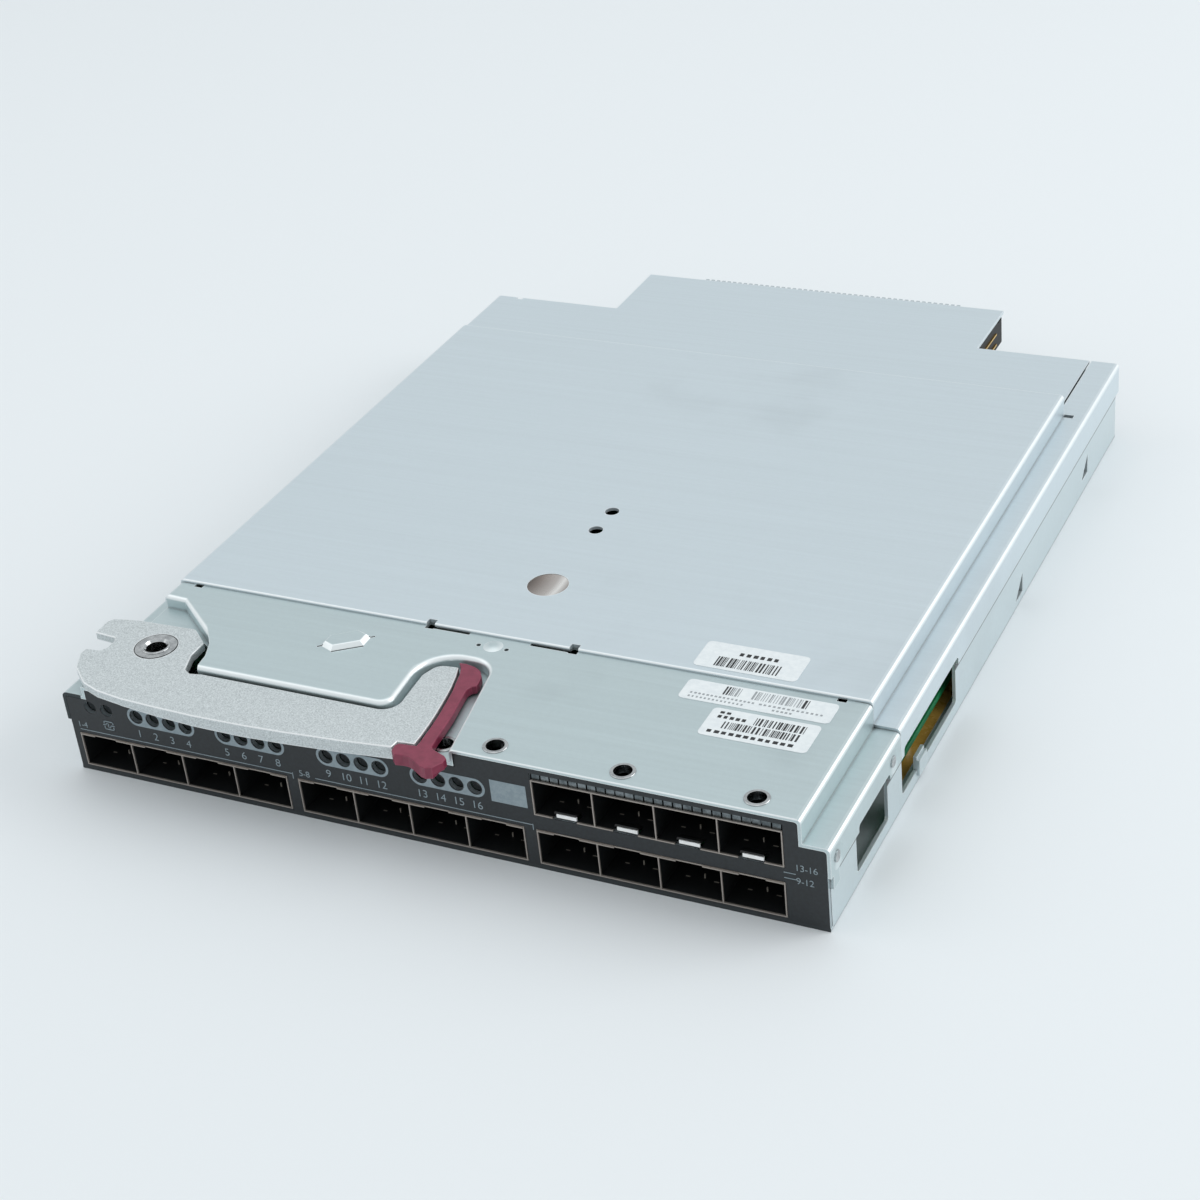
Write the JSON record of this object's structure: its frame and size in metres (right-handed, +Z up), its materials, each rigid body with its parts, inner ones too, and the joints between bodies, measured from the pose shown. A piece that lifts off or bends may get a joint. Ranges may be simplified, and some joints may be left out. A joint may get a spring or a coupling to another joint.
{
  "type": "pass-through module",
  "caption": "Flat steel pass-through module with rows of small transceiver ports in front, a swinging eject lever with a release latch, and a midplane connector tongue behind.",
  "frame": {"origin": "centre of the base pan underside, without the rear tongue", "axes": "+Z up through the cover, +Y to the rear tongue, +X to the right seen from the front"},
  "size_m": [0.1934, 0.256, 0.0286],
  "materials": {
    "galvanised_steel": "matt zinc-coated sheet, pale blue-grey",
    "printed_charcoal": "satin charcoal print on steel",
    "tinned_steel": "bright thin tinned sheet",
    "black_plastic": "matt moulded black",
    "green_board": "green solder mask over glass laminate",
    "amber_film": "thin amber insulating film",
    "bright_steel": "bright nickel plate",
    "clear_plastic": "clear moulded plastic",
    "white_plastic": "white chip package",
    "black_aluminium": "black anodised",
    "grey_ferrite": "matt grey",
    "gold_plate": "gold-plated copper",
    "silver_paint": "fine sparkle silver paint",
    "burgundy_plastic": "satin moulded burgundy",
    "polished_nickel": "polished nickel",
    "white_paper": "white label paper"
  },
  "bodies": {
    "chassis": {"base_pan": "galvanised_steel", "front_deck": "galvanised_steel", "top_cover": "galvanised_steel", "front_plate": "printed_charcoal", "cage_lower_left": "tinned_steel", "cage_lower_middle": "tinned_steel", "cage_lower_right": "tinned_steel", "cage_upper_right": "tinned_steel", "gasket_strip": "tinned_steel", "host_connectors_lower_left": "black_plastic", "host_connectors_lower_middle": "black_plastic", "host_connectors_lower_right": "black_plastic", "host_connectors_upper_right": "black_plastic", "main_board": "green_board", "lower_board": "green_board", "floor_film": "amber_film", "board_standoffs": "bright_steel", "board_screws": "bright_steel", "light_pipe_status": "clear_plastic", "light_pipe_1_to_4": "clear_plastic", "light_pipe_5_to_8": "clear_plastic", "light_pipe_9_to_12": "clear_plastic", "light_pipe_13_to_16": "clear_plastic", "board_lights": "white_plastic", "retimer_chip_left": "black_plastic", "retimer_chip_middle": "black_plastic", "retimer_chip_right": "black_plastic", "retimer_chip_far_right": "black_plastic", "control_chip": "black_plastic", "heat_sink": "black_aluminium", "power_converter": "green_board", "power_coils": "grey_ferrite", "capacitors": "bright_steel", "signal_connector": "black_plastic", "power_connector": "black_plastic", "power_blades": "gold_plate", "guide_socket": "black_plastic", "deck_eyelets": "bright_steel", "pivot_bush": "bright_steel", "side_rivets": "bright_steel", "cover_disc": "polished_nickel", "label_cover": "white_paper", "label_deck_long": "white_paper", "label_deck_square": "white_paper"},
    "lever": {"lever": "silver_paint", "latch_pin": "bright_steel", "latch_spring": "bright_steel"},
    "latch": {"release_latch": "burgundy_plastic"}
  },
  "joints": [
    {"name": "lever_swing", "type": "hinge", "parent": "chassis", "child": "lever", "pos_m": [-0.0796, -0.0941, 0.0252], "axis": [0, 0, -1], "range_deg": [0, 48]},
    {"name": "latch_squeeze", "type": "hinge", "parent": "lever", "child": "latch", "pos_m": [-0.0016, -0.0831, 0.0256], "axis": [0, 0, -1], "range_deg": [0, 1.1], "stiffness_Nm_per_rad": 0.2, "springref_deg": -5.73}
  ]
}
